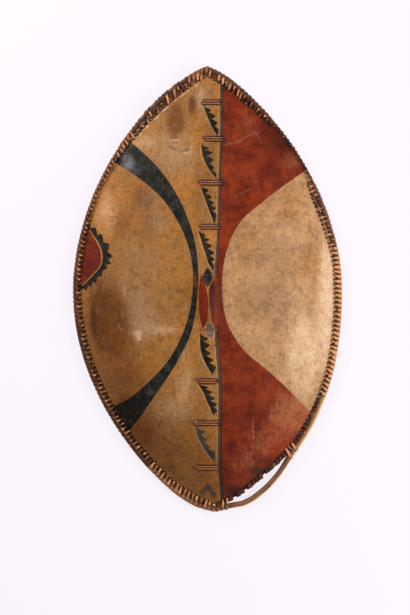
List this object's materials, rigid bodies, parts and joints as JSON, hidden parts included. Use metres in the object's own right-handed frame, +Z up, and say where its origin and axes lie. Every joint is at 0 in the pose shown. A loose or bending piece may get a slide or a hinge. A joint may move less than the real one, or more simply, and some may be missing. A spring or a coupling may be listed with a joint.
{
  "type": "hide shield",
  "caption": "Pointed-oval shield of painted rawhide, domed with a pinched knuckle boss, laced to a bent stick rim and tied with thongs to a long wooden stave with a bowed grip.",
  "frame": {"origin": "on the resting surface, under the middle of the shield's outline", "axes": "+Z up through the painted face, +Y along the stave towards the upper tip, +X to the right as the painted face is seen"},
  "size_m": [0.6039, 0.9977, 0.1048],
  "materials": {
    "painted_hide": "dry tan rawhide painted in brick red and black, scuffed, with a low sheen",
    "rawhide_strip": "dark brown rawhide strip, worn shiny",
    "thong": "red-brown hide thong with worn pale edges",
    "hoop_wood": "peeled stick, dark and smooth from handling",
    "stave_wood": "split and whittled stick, dry and unpainted"
  },
  "bodies": {
    "root": {"hide": "painted_hide", "rim_hoop": "hoop_wood", "rim_lacing": "rawhide_strip", "stave_lower_end": "stave_wood", "stave_lower": "stave_wood", "stave_grip": "stave_wood", "stave_upper": "stave_wood", "stave_upper_end": "stave_wood", "grip_wrap": "rawhide_strip", "thong_1": "thong", "thong_2": "thong", "thong_3": "thong", "thong_4": "thong", "thong_5": "thong", "thong_6": "thong", "thong_7": "thong", "thong_8": "thong", "thong_9": "thong"}
  },
  "joints": []
}
